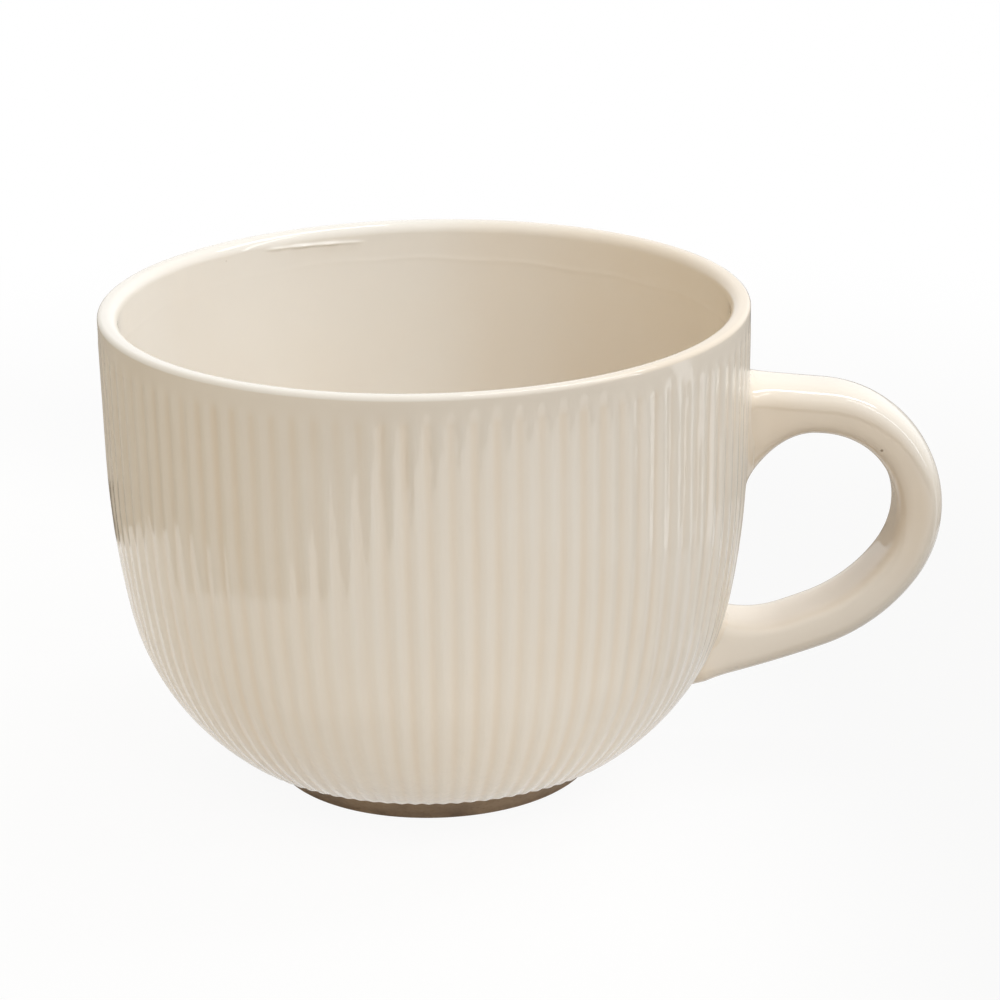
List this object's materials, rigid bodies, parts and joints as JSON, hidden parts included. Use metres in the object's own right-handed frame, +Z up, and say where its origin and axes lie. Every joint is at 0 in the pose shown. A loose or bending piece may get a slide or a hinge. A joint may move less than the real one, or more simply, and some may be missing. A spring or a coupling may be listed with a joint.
{
  "type": "soup mug",
  "caption": "Wide glazed ceramic soup mug with fine upright flutes, a rounded heel, a small foot ring and a loop handle luted on with slip.",
  "frame": {"origin": "on the bowl's axis, at the level of the foot ring's underside", "axes": "+Z up along the bowl's axis, +X from the axis towards the handle, +Y across the handle"},
  "size_m": [0.1568, 0.1202, 0.091],
  "materials": {
    "glaze": "glossy cream glaze over pale clay",
    "bare_clay": "bare fired clay, wiped of glaze underneath",
    "slip": "slip of the same clay under the cream glaze"
  },
  "bodies": {
    "root": {"bowl": "glaze", "foot_ring": "bare_clay", "handle": "glaze", "upper_slip_joint": "slip", "lower_slip_joint": "slip"}
  },
  "joints": []
}
